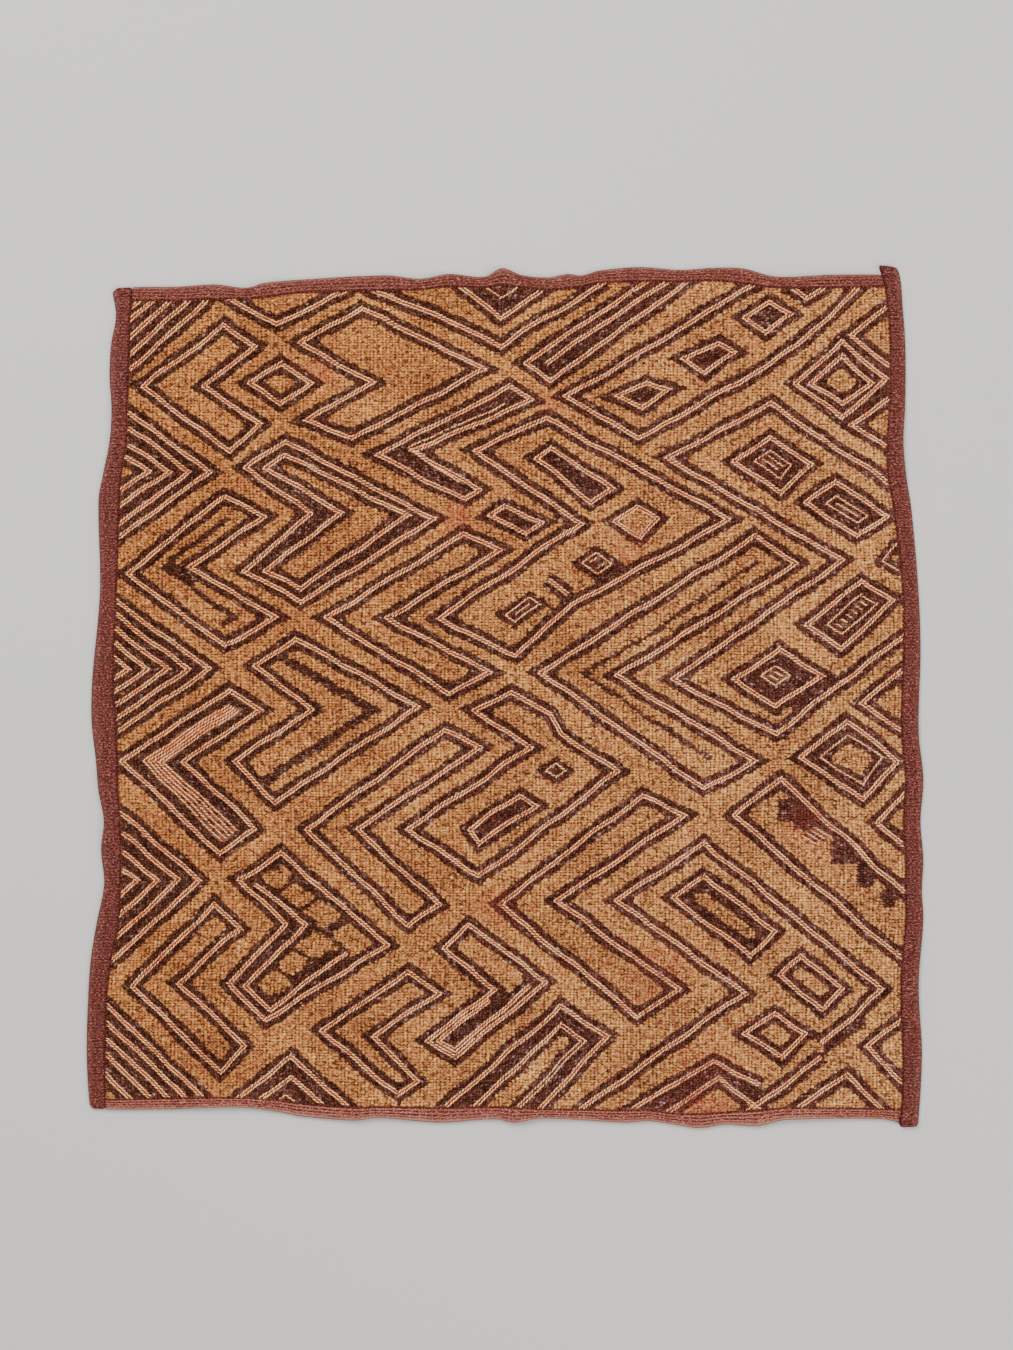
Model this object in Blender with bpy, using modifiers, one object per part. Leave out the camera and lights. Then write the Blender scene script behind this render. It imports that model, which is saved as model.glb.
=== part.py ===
"""A cut-pile raffia cloth with a red raffia binding, lying flat.

The embroidered panel is one uneven sheet. Its four raw edges are gripped by four folded strips:
the left and right strips run the full height, and the top and bottom strips butt against them.
"""

import math
from collections import namedtuple

import bmesh
import bpy

MM = 0.001

# Driving sizes in millimetres
GROUND_THICK = 1.0
PILE_PANEL_THICK = 2.8
LEAF_THICK = 1.0
CLEARANCE = 0.3
FOLD_THICK = 2 * LEAF_THICK + 2 * CLEARANCE + GROUND_THICK
TUCK_SHARE = 0.6
UNDERSIDE_RISE = 9.0
PILE_START = 1.6
ROLLED_END = 9.0
SEAM_SPAN = 560.0

# Slow swells in the pile's height: how high they are, and how wide along and across
SWELL_HEIGHT = 0.12
SWELL_WIDTH = 21.0
SWELL_WANDER = 1.3
SWELL_WANDER_WIDTH = 47.0
CROSS_SWELL_HEIGHT = 0.10
CROSS_SWELL_WIDTH = 26.0
CROSS_SWELL_SLANT = 61.0

# Steps of the solids
PANEL_STEPS = 32
LONG_STRIP_STEPS = 72
SIDE_STRIP_STEPS = 50

Station = namedtuple("Station", "along edge seam")
Cockle = namedtuple("Cockle", "side along half_length reach height")
Strip = namedtuple("Strip", "side start stop start_fullness stop_fullness steps")
Section = namedtuple("Section", "share height")

# Where each strip's outer edge and inner seam lie, in millimetres from the cloth's middle.
# Top and bottom are read along X, left and right along Y.
TOP = [
    Station(-283, 291, 285),
    Station(-278, 294, 285),
    Station(-234, 295, 285),
    Station(-209, 296.5, 286),
    Station(-186, 294, 286),
    Station(-173, 297.5, 287),
    Station(-147, 300, 290.5),
    Station(-86, 303, 292),
    Station(-61, 300.5, 292.5),
    Station(-40, 304, 295),
    Station(-15, 302, 294),
    Station(-2, 308, 295.5),
    Station(12, 303, 294),
    Station(31, 301.5, 292.5),
    Station(45, 304, 293.5),
    Station(55, 303, 295),
    Station(68, 306.5, 297.5),
    Station(97, 309, 298.5),
    Station(126, 307, 298.5),
    Station(151, 308.5, 299),
    Station(171, 308, 297),
    Station(195, 302, 294),
    Station(234, 303.5, 294),
    Station(270, 303.5, 295),
    Station(285, 302.5, 295),
]
BOTTOM = [
    Station(-300, -294, -290),
    Station(-296, -296.5, -290),
    Station(-248, -297, -289),
    Station(-191, -295.5, -288.5),
    Station(-162, -299, -290.5),
    Station(-147, -302, -292.5),
    Station(-108, -305, -295.5),
    Station(-92, -303, -295),
    Station(-47, -306.5, -295.5),
    Station(-7, -304, -295),
    Station(7, -306.5, -295.5),
    Station(26, -303.5, -296.5),
    Station(86, -306.5, -297.5),
    Station(104, -305.5, -297.5),
    Station(122, -308, -300),
    Station(140, -310.5, -300),
    Station(158, -308, -299),
    Station(182, -309, -297.5),
    Station(202, -304.5, -295.5),
    Station(270, -304, -296.5),
    Station(283, -306, -297),
    Station(298, -306, -297),
]
LEFT = [
    Station(-297, -298.5, -287.5),
    Station(-280, -300, -287.5),
    Station(-254, -301, -287.5),
    Station(-218, -300, -286.5),
    Station(-189, -298, -283),
    Station(-164, -294, -278),
    Station(-135, -288.5, -276.5),
    Station(-110, -290.5, -276),
    Station(-89, -288.5, -276.5),
    Station(-67, -292.5, -278),
    Station(-45, -294.5, -278.5),
    Station(-17, -297.5, -279.5),
    Station(12, -297, -281.5),
    Station(76, -291.5, -279.5),
    Station(141, -292.5, -277),
    Station(159, -289.5, -276),
    Station(184, -284.5, -272),
    Station(206, -283, -271.5),
    Station(231, -284.5, -270.5),
    Station(253, -283.5, -270),
    Station(274, -280, -269.5),
    Station(294, -283, -268),
]
RIGHT = [
    Station(-310, 297, 283.5),
    Station(-284, 299, 286),
    Station(-254, 300, 286),
    Station(-207, 297.5, 284.5),
    Station(-161, 301, 288),
    Station(-139, 300, 288),
    Station(-117, 301, 288),
    Station(-90, 299, 286.5),
    Station(-60, 301, 288),
    Station(-25, 297.5, 285),
    Station(33, 299, 286.5),
    Station(76, 297.5, 286),
    Station(134, 292.5, 279.5),
    Station(160, 288.5, 275),
    Station(184, 286.5, 274.5),
    Station(213, 288, 276.5),
    Station(253, 288, 277),
    Station(282, 286, 275),
    Station(300, 284.5, 272),
    Station(312, 281, 268),
]

# Places where the edge is drawn in, so that the cloth stands a little off the surface
COCKLES = [
    Cockle("top", -186, 42, 34, 1.4),
    Cockle("top", -61, 40, 40, 1.6),
    Cockle("top", 8, 42, 62, 2.2),
    Cockle("top", 199, 46, 44, 1.6),
    Cockle("bottom", -205, 48, 36, 1.6),
    Cockle("bottom", -94, 40, 34, 1.4),
    Cockle("bottom", 16, 44, 44, 1.8),
    Cockle("bottom", 214, 44, 44, 1.8),
    Cockle("left", 206, 44, 34, 1.6),
    Cockle("left", -89, 46, 40, 2.0),
    Cockle("right", 182, 46, 42, 1.8),
    Cockle("right", -28, 46, 34, 1.4),
    Cockle("right", -209, 46, 34, 1.5),
]

# How far along its edge each strip runs, in shares of the seam-to-seam height or width.
# Beyond 0 and 1 a share counts in widths of the strip that crosses there.
STRIPS = [
    Strip("left", -1.0, 2.0, 1.1, 1.45, SIDE_STRIP_STEPS),
    Strip("right", -1.4, 2.8, 1.35, 1.5, SIDE_STRIP_STEPS),
    Strip("bottom", 0.0, 1.0, 1.0, 1.0, LONG_STRIP_STEPS),
    Strip("top", 0.0, 1.0, 1.0, 1.0, LONG_STRIP_STEPS),
]

# The folded strip's outer skin, from the seam underneath, round the fold, to the seam on top.
# Share 0 is the outer edge and share 1 the seam; height is a share of the fold's thickness.
FOLD_SECTION = [
    Section(1.0, 0.0),
    Section(0.12, 0.0),
    Section(0.0, 0.3),
    Section(0.0, 0.7),
    Section(0.12, 1.0),
    Section(0.55, 1.04),
    Section(1.0, 1.0),
]


def smooth_line(rows, column):
    """A curve through one column of a table: a cubic between its stations, level past its ends."""
    along = [row.along for row in rows]
    value = [getattr(row, column) for row in rows]
    slope = []
    for i in range(len(rows)):
        before, after = max(i - 1, 0), min(i + 1, len(rows) - 1)
        slope.append((value[after] - value[before]) / (along[after] - along[before]))

    def at(place):
        if place <= along[0]:
            return value[0]
        if place >= along[-1]:
            return value[-1]
        i = max(k for k in range(len(along) - 1) if along[k] <= place)
        span = along[i + 1] - along[i]
        t = (place - along[i]) / span
        rise = value[i] * (1 + 2 * t) * (1 - t) ** 2 + value[i + 1] * t * t * (3 - 2 * t)
        return rise + span * (slope[i] * t * (1 - t) ** 2 - slope[i + 1] * t * t * (1 - t))

    return at


EDGES = {}
for side, table in {"top": TOP, "bottom": BOTTOM, "left": LEFT, "right": RIGHT}.items():
    EDGES[side] = (smooth_line(table, "edge"), smooth_line(table, "seam"))


def between(low_side, high_side, share, along):
    """A place across the cloth: 0 and 1 are the two seams, -1 and 2 the two outer edges."""
    low_edge, low_seam = (curve(along) for curve in EDGES[low_side])
    high_edge, high_seam = (curve(along) for curve in EDGES[high_side])
    if share < 0:
        return low_seam + (low_edge - low_seam) * -share
    if share > 1:
        return high_seam + (high_edge - high_seam) * (share - 1)
    return low_seam + (high_seam - low_seam) * share


def place(across, up):
    """(x, y) in millimetres of a share across and a share up the cloth."""
    x, y = 0.0, 0.0
    for _ in range(8):
        x = between("left", "right", across, y)
        y = between("bottom", "top", up, x)
    return x, y


def ease(t):
    t = min(max(t, 0.0), 1.0)
    return t * t * (3 - 2 * t)


def inward(side, x, y):
    """How far a place lies inside one outer edge, and how far along that edge."""
    edge = EDGES[side][0]
    if side in ("top", "bottom"):
        return abs(edge(x) - y), x
    return abs(edge(y) - x), y


def lift(x, y):
    """How far the cloth stands off the surface at a place, from all the cockles."""
    height = 0.0
    for cockle in COCKLES:
        depth, along = inward(cockle.side, x, y)
        off = abs(along - cockle.along) / cockle.half_length
        if off < 1 and depth < cockle.reach:
            swell = math.cos(off * math.pi / 2) ** 2
            height += cockle.height * swell * (1 - ease(depth / cockle.reach))
    return height


def inside_seam(x, y):
    """How far a place lies inside the nearest seam; negative within the binding."""
    return min(
        x - EDGES["left"][1](y),
        EDGES["right"][1](y) - x,
        y - EDGES["bottom"][1](x),
        EDGES["top"][1](x) - y,
    )


def panel_underside(x, y):
    """The panel lies on the surface, and rises at its rim to enter the fold over its lower leaf."""
    rise = LEAF_THICK + CLEARANCE
    return lift(x, y) + rise * (1 - ease(inside_seam(x, y) / UNDERSIDE_RISE))


def unevenness(x, y):
    """Two sets of slow swells that cross each other over the pile."""
    wander = SWELL_WANDER * math.sin(y / SWELL_WANDER_WIDTH)
    swells = SWELL_HEIGHT * math.sin(x / SWELL_WIDTH + wander)
    return swells + CROSS_SWELL_HEIGHT * math.sin(y / CROSS_SWELL_WIDTH - x / CROSS_SWELL_SLANT)


def panel_face(x, y):
    """The pile's height: bare ground within the fold, full and softly uneven over the panel."""
    bare = LEAF_THICK + CLEARANCE + GROUND_THICK
    grown = ease(inside_seam(x, y) / PILE_START)
    return lift(x, y) + bare + (PILE_PANEL_THICK + unevenness(x, y) - bare) * grown


def grid_mesh(name, columns, rows, position):
    """A mesh of a flat grid whose point (column, row) is moved to position(column, row)."""
    mesh = bpy.data.meshes.new(name)
    bm = bmesh.new()
    bmesh.ops.create_grid(bm, x_segments=columns, y_segments=rows, size=1.0)
    for vertex in bm.verts:
        column = round((vertex.co.x + 1) / 2 * columns)
        row = round((vertex.co.y + 1) / 2 * rows)
        vertex.co = [value * MM for value in position(column, row)]
    bm.to_mesh(mesh)
    bm.free()
    return mesh


def add_object(name, mesh, material):
    piece = bpy.data.objects.new(name, mesh)
    piece.data.materials.append(material)
    collection.objects.link(piece)
    mesh.shade_smooth()
    return piece


def cloth_material(name, colour, roughness):
    material = bpy.data.materials.new(name)
    material.use_nodes = True
    shader = material.node_tree.nodes["Principled BSDF"]
    shader.inputs["Base Color"].default_value = (*colour, 1.0)
    shader.inputs["Roughness"].default_value = roughness
    shader.inputs["Metallic"].default_value = 0.0
    return material


def panel_shares():
    """Shares of the panel's grid lines: the tucked rim, the seam, where the pile starts, the field."""
    near = PILE_START / SEAM_SPAN
    field = [i / PANEL_STEPS for i in range(1, PANEL_STEPS)]
    return [-TUCK_SHARE, 0.0, near, *field, 1 - near, 1.0, 1 + TUCK_SHARE]


def make_panel():
    """The pile cloth: one sheet from the face of its pile down to the surface it lies on."""
    shares = panel_shares()
    last = len(shares) - 1

    def position(column, row):
        x, y = place(shares[column], shares[row])
        return x, y, panel_face(x, y)

    mesh = grid_mesh("panel", last, last, position)
    bm = bmesh.new()
    bm.from_mesh(mesh)
    region = bmesh.ops.extrude_face_region(bm, geom=bm.faces[:])
    for vertex in [item for item in region["geom"] if isinstance(item, bmesh.types.BMVert)]:
        x, y = vertex.co.x / MM, vertex.co.y / MM
        vertex.co.z = panel_underside(x, y) * MM
    bmesh.ops.recalc_face_normals(bm, faces=bm.faces[:])
    bm.to_mesh(mesh)
    bm.free()
    return add_object("panel", mesh, cloth_material("pile_raffia", (0.50, 0.28, 0.11), 0.9))


def side_share(strip, column):
    """Even steps in millimetres for a strip that runs past both seams."""
    ends = [place(0.5, strip.start)[1], place(0.5, strip.stop)[1]]
    seams = [place(0.5, 0.0)[1], place(0.5, 1.0)[1]]
    y = ends[0] + (ends[1] - ends[0]) * column / strip.steps
    if y < seams[0]:
        return strip.start * (seams[0] - y) / (seams[0] - ends[0])
    if y > seams[1]:
        return 1 + (strip.stop - 1) * (y - seams[1]) / (ends[1] - seams[1])
    return (y - seams[0]) / (seams[1] - seams[0])


def strip_position(strip, column, row):
    """A point of a folded strip's outer skin, at a step along it and a step round its section."""
    section = FOLD_SECTION[row]
    low_side = strip.side in ("left", "bottom")
    out = section.share - 1 if low_side else 2 - section.share
    if strip.side in ("top", "bottom"):
        gap = CLEARANCE / SEAM_SPAN
        along = strip.start + gap + (strip.stop - strip.start - 2 * gap) * column / strip.steps
        x, y = place(along, out)
    else:
        x, y = place(out, side_share(strip, column))
    return x, y, lift(x, y) + FOLD_THICK * section.height * fullness(strip, y)


def fullness(strip, y):
    """A side strip's turned-in ends are thicker than its length."""
    if strip.side in ("top", "bottom"):
        return 1.0
    from_start = (y - EDGES["bottom"][0](0)) / ROLLED_END
    from_stop = (EDGES["top"][0](0) - y) / ROLLED_END
    start_swell = (strip.start_fullness - 1) * (1 - ease(from_start))
    stop_swell = (strip.stop_fullness - 1) * (1 - ease(from_stop))
    return 1 + start_swell + stop_swell


def make_strip(strip):
    """A strip of cloth folded over the panel's raw edge: an open skin given its leaf's thickness."""
    name = "binding_" + strip.side
    steps = strip.steps
    mesh = grid_mesh(name, steps, len(FOLD_SECTION) - 1, lambda c, r: strip_position(strip, c, r))
    if strip.side in ("left", "top"):
        mesh.flip_normals()
    piece = add_object(name, mesh, red_raffia)
    shell = piece.modifiers.new("leaf", "SOLIDIFY")
    shell.thickness = LEAF_THICK * MM
    shell.offset = -1.0
    shell.use_even_offset = True
    return piece


for old in list(bpy.data.objects):
    bpy.data.objects.remove(old)
collection = bpy.data.collections.new("raffia_cloth")
bpy.context.scene.collection.children.link(collection)
red_raffia = cloth_material("red_raffia", (0.22, 0.055, 0.04), 0.75)

make_panel()
for strip in STRIPS:
    make_strip(strip)
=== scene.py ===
"""A cut-pile raffia cloth with a geometric lozenge pattern and a red raffia binding, lying flat."""

import math
from collections import namedtuple

import bpy
import numpy as np
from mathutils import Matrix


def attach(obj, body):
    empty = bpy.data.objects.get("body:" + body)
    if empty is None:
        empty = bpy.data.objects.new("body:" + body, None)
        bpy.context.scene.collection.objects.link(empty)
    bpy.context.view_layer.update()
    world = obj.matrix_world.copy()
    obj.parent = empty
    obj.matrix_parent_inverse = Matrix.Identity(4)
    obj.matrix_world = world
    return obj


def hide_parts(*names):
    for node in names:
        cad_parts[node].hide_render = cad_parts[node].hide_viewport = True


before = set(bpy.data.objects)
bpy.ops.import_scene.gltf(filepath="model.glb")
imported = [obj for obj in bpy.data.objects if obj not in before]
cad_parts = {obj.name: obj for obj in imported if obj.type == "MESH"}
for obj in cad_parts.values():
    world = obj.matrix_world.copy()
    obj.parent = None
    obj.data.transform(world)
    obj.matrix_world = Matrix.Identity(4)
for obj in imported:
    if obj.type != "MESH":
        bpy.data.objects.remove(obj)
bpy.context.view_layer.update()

# The view: the cloth lies on a plain pale floor, pictured from straight above.
# One broad soft lamp stands beyond the top edge and a weaker one beyond the bottom right corner.
MM = 0.001
VIEW_CENTRE = (0.0011, 0.0155)
VIEW_HEIGHT = 0.972
CAMERA_UP = 2.4
SENSOR = 36.0

bpy.ops.object.select_all(action="DESELECT")
bpy.ops.object.camera_add(location=(*VIEW_CENTRE, CAMERA_UP), rotation=(0, 0, 0))
camera = bpy.context.object
camera.data.sensor_fit = "VERTICAL"
camera.data.sensor_height = SENSOR
camera.data.lens = SENSOR * CAMERA_UP / VIEW_HEIGHT
bpy.context.scene.camera = camera

bpy.ops.mesh.primitive_plane_add(size=8.0, location=(0, 0, 0))
floor = bpy.context.object
floor.name = "floor"
pale_floor = bpy.data.materials.new("pale_floor")
pale_floor.use_nodes = True
paint = pale_floor.node_tree.nodes["Principled BSDF"]
paint.inputs["Base Color"].default_value = (0.51, 0.50, 0.485, 1)
paint.inputs["Roughness"].default_value = 0.85
floor.data.materials.append(pale_floor)

Lamp = namedtuple("Lamp", "place size power")
for lamp in [
    Lamp((-0.7, 1.4, 2.0), 1.5, 83),
    Lamp((1.3, -1.0, 2.0), 1.6, 46),
]:
    bpy.ops.object.light_add(type="AREA", location=lamp.place)
    soft_box = bpy.context.object
    soft_box.data.size = lamp.size
    soft_box.data.energy = lamp.power
    soft_box.rotation_euler = (-soft_box.location).to_track_quat("-Z", "Y").to_euler()

studio = bpy.data.worlds.new("studio")
studio.use_nodes = True
studio.node_tree.nodes["Background"].inputs["Color"].default_value = (1.0, 0.99, 0.97, 1)
studio.node_tree.nodes["Background"].inputs["Strength"].default_value = 0.64
bpy.context.scene.world = studio

# The ground cloth: a square of plain-woven raffia, about 1 mm thick, that carries all the stitching.
# Its raw edges are tucked into the folded binding, where they stand on the binding's lower leaf.
GROUND_THICK = 1.0
PILE_PANEL_THICK = 2.8
LEAF_THICK = 1.0
CLEARANCE = 0.3
TUCK_SHARE = 0.6
UNDERSIDE_RISE = 9.0
PILE_START = 1.6
SEAM_SPAN = 560.0

Station = namedtuple("Station", "along edge seam")


def stations(*rows):
    return [Station(*row) for row in rows]


Cockle = namedtuple("Cockle", "side along half_length reach height")

# Places along a side, with its outer edge and inner seam there, in millimetres from the cloth's middle.
# Top and bottom are read along X, left and right along Y.
TOP = stations(
    (-283, 291, 285), (-278, 294, 285), (-234, 295, 285), (-209, 296.5, 286), (-186, 294, 286),
    (-173, 297.5, 287), (-147, 300, 290.5), (-86, 303, 292), (-61, 300.5, 292.5), (-40, 304, 295),
    (-15, 302, 294), (-2, 308, 295.5), (12, 303, 294), (31, 301.5, 292.5), (45, 304, 293.5),
    (55, 303, 295), (68, 306.5, 297.5), (97, 309, 298.5), (126, 307, 298.5), (151, 308.5, 299),
    (171, 308, 297), (195, 302, 294), (234, 303.5, 294), (270, 303.5, 295), (285, 302.5, 295),
)
BOTTOM = stations(
    (-300, -294, -290), (-296, -296.5, -290), (-248, -297, -289), (-191, -295.5, -288.5),
    (-162, -299, -290.5), (-147, -302, -292.5), (-108, -305, -295.5), (-92, -303, -295),
    (-47, -306.5, -295.5), (-7, -304, -295), (7, -306.5, -295.5), (26, -303.5, -296.5),
    (86, -306.5, -297.5), (104, -305.5, -297.5), (122, -308, -300), (140, -310.5, -300),
    (158, -308, -299), (182, -309, -297.5), (202, -304.5, -295.5), (270, -304, -296.5),
    (283, -306, -297), (298, -306, -297),
)
LEFT = stations(
    (-297, -298.5, -287.5), (-280, -300, -287.5), (-254, -301, -287.5), (-218, -300, -286.5),
    (-189, -298, -283), (-164, -294, -278), (-135, -288.5, -276.5), (-110, -290.5, -276),
    (-89, -288.5, -276.5), (-67, -292.5, -278), (-45, -294.5, -278.5), (-17, -297.5, -279.5),
    (12, -297, -281.5), (76, -291.5, -279.5), (141, -292.5, -277), (159, -289.5, -276),
    (184, -284.5, -272), (206, -283, -271.5), (231, -284.5, -270.5), (253, -283.5, -270),
    (274, -280, -269.5), (294, -283, -268),
)
RIGHT = stations(
    (-310, 297, 283.5), (-284, 299, 286), (-254, 300, 286), (-207, 297.5, 284.5), (-161, 301, 288),
    (-139, 300, 288), (-117, 301, 288), (-90, 299, 286.5), (-60, 301, 288), (-25, 297.5, 285),
    (33, 299, 286.5), (76, 297.5, 286), (134, 292.5, 279.5), (160, 288.5, 275), (184, 286.5, 274.5),
    (213, 288, 276.5), (253, 288, 277), (282, 286, 275), (300, 284.5, 272), (312, 281, 268),
)

# Places where the edge is drawn in, so that the cloth stands a little off the surface
COCKLES = [
    Cockle("top", -186, 42, 34, 1.4),
    Cockle("top", -61, 40, 40, 1.6),
    Cockle("top", 8, 42, 62, 2.2),
    Cockle("top", 199, 46, 44, 1.6),
    Cockle("bottom", -205, 48, 36, 1.6),
    Cockle("bottom", -94, 40, 34, 1.4),
    Cockle("bottom", 16, 44, 44, 1.8),
    Cockle("bottom", 214, 44, 44, 1.8),
    Cockle("left", 206, 44, 34, 1.6),
    Cockle("left", -89, 46, 40, 2.0),
    Cockle("right", 182, 46, 42, 1.8),
    Cockle("right", -28, 46, 34, 1.4),
    Cockle("right", -209, 46, 34, 1.5),
]


def smooth_line(rows, column):
    """A curve through one column of a table: a cubic between its stations, level past its ends."""
    along = np.array([row.along for row in rows], float)
    value = np.array([getattr(row, column) for row in rows], float)
    slope = np.gradient(value)
    slope[1:-1] = (value[2:] - value[:-2]) / (along[2:] - along[:-2])
    slope[0] = (value[1] - value[0]) / (along[1] - along[0])
    slope[-1] = (value[-1] - value[-2]) / (along[-1] - along[-2])

    def at(place):
        place = np.clip(place, along[0], along[-1])
        i = np.clip(np.searchsorted(along, place, side="right") - 1, 0, len(along) - 2)
        span = along[i + 1] - along[i]
        t = (place - along[i]) / span
        rise = value[i] * (1 + 2 * t) * (1 - t) ** 2 + value[i + 1] * t * t * (3 - 2 * t)
        return rise + span * (slope[i] * t * (1 - t) ** 2 - slope[i + 1] * t * t * (1 - t))

    return at


EDGES = {}
for side, table in {"top": TOP, "bottom": BOTTOM, "left": LEFT, "right": RIGHT}.items():
    EDGES[side] = (smooth_line(table, "edge"), smooth_line(table, "seam"))


def between(low_side, high_side, share, along):
    """A place across the cloth: 0 and 1 are the two seams, -1 and 2 the two outer edges."""
    low_edge, low_seam = (curve(along) for curve in EDGES[low_side])
    high_edge, high_seam = (curve(along) for curve in EDGES[high_side])
    within = low_seam + (high_seam - low_seam) * share
    below = low_seam - (low_edge - low_seam) * share
    above = high_seam + (high_edge - high_seam) * (share - 1)
    return np.where(share < 0, below, np.where(share > 1, above, within))


def place(across, up):
    """x and y in millimetres of a share across and a share up the cloth."""
    across, up = np.broadcast_arrays(np.asarray(across, float), np.asarray(up, float))
    x, y = np.zeros(across.shape), np.zeros(across.shape)
    for _ in range(8):
        x = between("left", "right", across, y)
        y = between("bottom", "top", up, x)
    return x, y


def ease(t):
    t = np.clip(t, 0.0, 1.0)
    return t * t * (3 - 2 * t)


def lift(x, y):
    """How far the cloth stands off the surface at a place, from all the cockles."""
    height = np.zeros(np.shape(x))
    for cockle in COCKLES:
        across, along = (y, x) if cockle.side in ("top", "bottom") else (x, y)
        depth = np.abs(EDGES[cockle.side][0](along) - across)
        off = np.clip(np.abs(along - cockle.along) / cockle.half_length, 0, 1)
        swell = np.cos(off * math.pi / 2) ** 2
        height = height + cockle.height * swell * (1 - ease(depth / cockle.reach))
    return height


def inside_seam(x, y):
    """How far a place lies inside the nearest seam; negative within the binding."""
    across = np.minimum(x - EDGES["left"][1](y), EDGES["right"][1](y) - x)
    return np.minimum(across, np.minimum(y - EDGES["bottom"][1](x), EDGES["top"][1](x) - y))


def ground_underside(x, y):
    """The ground lies on the surface, and rises at its rim to enter the fold over its lower leaf."""
    rise = LEAF_THICK + CLEARANCE
    return lift(x, y) + rise * (1 - ease(inside_seam(x, y) / UNDERSIDE_RISE))


def ground_face(x, y):
    return ground_underside(x, y) + GROUND_THICK


def pile_face(x, y):
    """The height of the cut pile: full and softly uneven over the panel, and nothing in the fold."""
    bare = LEAF_THICK + CLEARANCE + GROUND_THICK
    swells = 0.12 * np.sin(x / 21 + 1.3 * np.sin(y / 47)) + 0.10 * np.sin(y / 26 - x / 61)
    grown = ease(inside_seam(x, y) / PILE_START)
    return lift(x, y) + bare + (PILE_PANEL_THICK + swells - bare) * grown


def shaped_grid(name, columns, rows, position):
    """A grid primitive whose points are moved by position(columns, rows); its UV map keeps both shares."""
    bpy.ops.object.select_all(action="DESELECT")
    bpy.ops.mesh.primitive_grid_add(x_subdivisions=columns, y_subdivisions=rows, size=2)
    piece = bpy.context.object
    piece.name = name
    flat = np.empty(len(piece.data.vertices) * 3)
    piece.data.vertices.foreach_get("co", flat)
    column = np.rint((flat[0::3] + 1) / 2 * columns)
    row = np.rint((flat[1::3] + 1) / 2 * rows)
    points = np.column_stack(position(column, row)) * MM
    piece.data.vertices.foreach_set("co", points.ravel())
    piece.data.update()
    return piece


def apply_modifier(piece, kind, **settings):
    bpy.ops.object.select_all(action="DESELECT")
    bpy.context.view_layer.objects.active = piece
    piece.select_set(True)
    modifier = piece.modifiers.new(kind.lower(), kind)
    for name, value in settings.items():
        setattr(modifier, name, value)
    bpy.ops.object.modifier_apply(modifier=modifier.name)


def new_material(name, gloss):
    """A material with its node tree, and its shader."""
    material = bpy.data.materials.new(name)
    material.use_nodes = True
    shader = material.node_tree.nodes["Principled BSDF"]
    shader.inputs["Specular IOR Level"].default_value = gloss
    return material, shader


def add_node(tree, kind, inputs=(), **settings):
    """A node with its settings, and its inputs as values or as other nodes' outputs."""
    node = tree.nodes.new(kind)
    for name, value in settings.items():
        setattr(node, name, value)
    for name, value in dict(inputs).items():
        if isinstance(value, bpy.types.NodeSocket):
            tree.links.new(value, node.inputs[name])
        else:
            node.inputs[name].default_value = value
    return node


def maths(tree, operation, *values):
    """The output of one step of arithmetic."""
    return add_node(tree, "ShaderNodeMath", dict(enumerate(values)), operation=operation).outputs[0]


def colour_ramp(tree, factor, stops):
    """A colour ramp through (place, colour) stops, read at factor."""
    node = add_node(tree, "ShaderNodeValToRGB", {"Fac": factor})
    ramp = node.color_ramp
    while len(ramp.elements) < len(stops):
        ramp.elements.new(0.5)
    for element, (at, colour) in zip(ramp.elements, stops):
        element.position = at
        element.color = (*colour, 1)
    return node.outputs["Color"]


def mix_colours(tree, factor, first, second, blend="MIX"):
    """Two colours mixed by factor, either of them a plain colour or an output."""
    node = tree.nodes.new("ShaderNodeMix")
    node.data_type = "RGBA"
    node.blend_type = blend
    for index, value in ((0, factor), (6, first), (7, second)):
        if isinstance(value, bpy.types.NodeSocket):
            tree.links.new(value, node.inputs[index])
        else:
            node.inputs[index].default_value = value if index == 0 else (*value, 1)
    return node.outputs[2]


def new_group(name, inputs, output):
    """An empty node group with float inputs and one output, and its two ends."""
    group = bpy.data.node_groups.new(name, "ShaderNodeTree")
    for socket, value in inputs.items():
        added = group.interface.new_socket(socket, in_out="INPUT", socket_type="NodeSocketFloat")
        added.default_value = value
    group.interface.new_socket(output, in_out="OUTPUT", socket_type="NodeSocketFloat")
    return group, group.nodes.new("NodeGroupInput").outputs, group.nodes.new("NodeGroupOutput").inputs


def give_surface(tree, shader, raised, roughest, smoothing, relief, depth):
    """Roughness that falls where a mask is raised, and a relief of so many metres from the same mask."""
    tree.links.new(maths(tree, "MULTIPLY_ADD", raised, -smoothing, roughest), shader.inputs["Roughness"])
    bump = add_node(tree, "ShaderNodeBump", {"Height": raised, "Strength": relief, "Distance": depth})
    tree.links.new(bump.outputs["Normal"], shader.inputs["Normal"])


def ground_position(column, row):
    """Places of the ground's grid: even within the seams, and two steps of tuck on every side."""
    shares = np.linspace(0, 1, GROUND_STEPS - 3)
    shares = np.concatenate([[-TUCK_SHARE, -TUCK_SHARE / 2], shares, [1 + TUCK_SHARE / 2, 1 + TUCK_SHARE]])
    x, y = place(shares[column.astype(int)], shares[row.astype(int)])
    return x, y, ground_face(x, y)


GROUND_STEPS = 120
ground = shaped_grid("ground_cloth", GROUND_STEPS, GROUND_STEPS, ground_position)
apply_modifier(ground, "SOLIDIFY", thickness=GROUND_THICK * MM, offset=-1.0)
ground.data.shade_smooth()

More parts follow.
